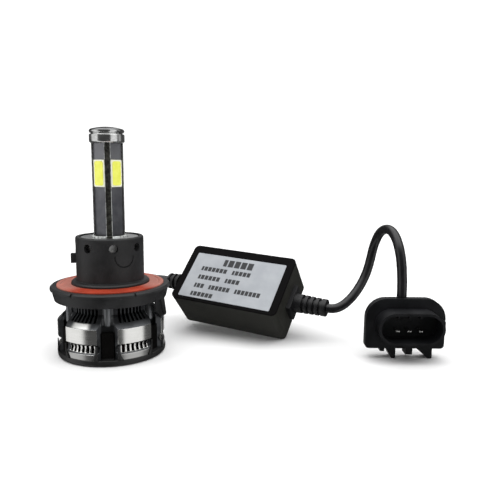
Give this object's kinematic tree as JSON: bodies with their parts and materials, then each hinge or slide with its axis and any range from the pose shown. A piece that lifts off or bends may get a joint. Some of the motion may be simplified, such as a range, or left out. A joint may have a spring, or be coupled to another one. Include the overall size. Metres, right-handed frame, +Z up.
{
  "type": "headlight bulb",
  "caption": "LED headlight bulb with a four-sided light tower, plug-in collar, sealed flange, fan-cooled heat sink, in-line driver and plug.",
  "frame": {"origin": "centre of the fan ring's underside, which is the face that the lamp stands on", "axes": "+Z up along the lamp's axis towards the tip; -Y is the front; +X towards the driver and the plug"},
  "size_m": [0.1562, 0.078, 0.0894],
  "materials": {
    "sink_anodised": "black anodised with turned bright bands",
    "tower_metal": "dark anodised, worn at the edges",
    "bright_plate": "bright turned",
    "cap_metal": "polished gunmetal",
    "board_mask": "satin solder mask",
    "package_ceramic": "satin",
    "phosphor_yellow": "satin silicone",
    "collar_plastic": "matte moulded",
    "seal_silicone": "satin",
    "ring_plastic": "satin moulded",
    "fan_red": "gloss moulded",
    "motor_plastic": "matte moulded",
    "bright_steel": "satin",
    "silicon_iron": "laminated",
    "magnet_ferrite": "matt",
    "copper_wire": "enamelled",
    "bush_bronze": "sintered",
    "washer_nylon": "smooth",
    "circuit_board": "solder mask",
    "lead_rubber": "satin",
    "cable_sheath": "semi-gloss",
    "wire_insulation": "smooth",
    "case_plastic": "satin moulded",
    "label_foil": "silver-grey satin film",
    "ferrite_core": "powder coated",
    "capacitor_can": "sleeved",
    "chip_epoxy": "matt",
    "plug_plastic": "satin moulded",
    "terminal_tin": "tin plated"
  },
  "bodies": {
    "lamp": {"heat_sink": "sink_anodised", "lamp_core": "tower_metal", "neck_plate": "bright_plate", "core_wires": "wire_insulation", "tip_cap": "cap_metal", "led_board_1": "board_mask", "led_board_2": "board_mask", "led_board_3": "board_mask", "led_board_4": "board_mask", "led_package_1": "package_ceramic", "led_package_2": "package_ceramic", "led_package_3": "package_ceramic", "led_package_4": "package_ceramic", "phosphor_1": "phosphor_yellow", "phosphor_2": "phosphor_yellow", "phosphor_3": "phosphor_yellow", "phosphor_4": "phosphor_yellow", "fan_ring": "ring_plastic", "fan_screws": "bright_steel", "fan_frame": "motor_plastic", "fan_board": "circuit_board", "stator_core": "silicon_iron", "stator_coils": "copper_wire", "bearing_bush": "bush_bronze", "lead_grommet": "lead_rubber", "bulb_lead": "cable_sheath", "driver_case": "case_plastic", "driver_base": "case_plastic", "driver_label": "label_foil", "driver_board": "circuit_board", "inductor_core": "ferrite_core", "inductor_winding": "copper_wire", "driver_capacitors": "capacitor_can", "driver_chips": "chip_epoxy", "driver_inlet_gland": "lead_rubber", "driver_outlet_gland": "lead_rubber", "plug_cable": "cable_sheath", "plug_body": "plug_plastic", "plug_cover": "plug_plastic", "plug_terminals": "terminal_tin", "plug_wires": "wire_insulation"},
    "collar": {"base_collar": "collar_plastic", "seal_ring": "seal_silicone", "clamp_screws": "bright_steel"},
    "rotor": {"impeller": "fan_red", "rotor_cup": "bright_steel", "rotor_magnet": "magnet_ferrite", "fan_shaft": "bright_steel", "thrust_washer": "washer_nylon"}
  },
  "joints": [
    {"name": "fan_spin", "type": "hinge", "parent": "lamp", "child": "rotor", "pos_m": [0, 0, 0.005], "axis": [0, 0, 1], "continuous": true},
    {"name": "collar_turn", "type": "hinge", "parent": "lamp", "child": "collar", "pos_m": [0, 0, 0.036], "axis": [0, 0, 1], "range_deg": [-45, 45]}
  ]
}
